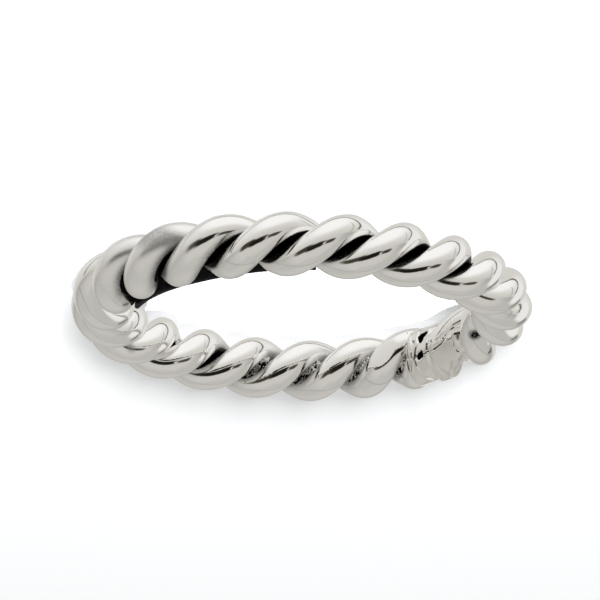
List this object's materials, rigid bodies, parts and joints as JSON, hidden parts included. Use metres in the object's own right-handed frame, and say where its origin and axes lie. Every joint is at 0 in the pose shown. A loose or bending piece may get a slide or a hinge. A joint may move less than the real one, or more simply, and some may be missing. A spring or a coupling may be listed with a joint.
{
  "type": "rope twist ring",
  "caption": "Finger ring of two round silver wires twisted into a rope and closed by a solder joint, with a thin dark backing strip inside its front arc.",
  "frame": {"origin": "under the middle of the ring's bounding box, on the surface that the ring lies on", "axes": "+Z through the finger hole, upwards as the ring lies on its side; -Y faces the front arc that the picture shows nearest"},
  "size_m": [0.0232, 0.0236, 0.0034],
  "materials": {
    "silver_wire": "polished sterling silver, black oxide left in the grooves of the front arc",
    "silver_solder": "filed and polished silver solder",
    "oxidised_strip": "black oxidised silver, satin"
  },
  "bodies": {
    "root": {"strand_a": "silver_wire", "strand_b": "silver_wire", "solder_joint": "silver_solder", "backing_strip": "oxidised_strip"}
  },
  "joints": []
}
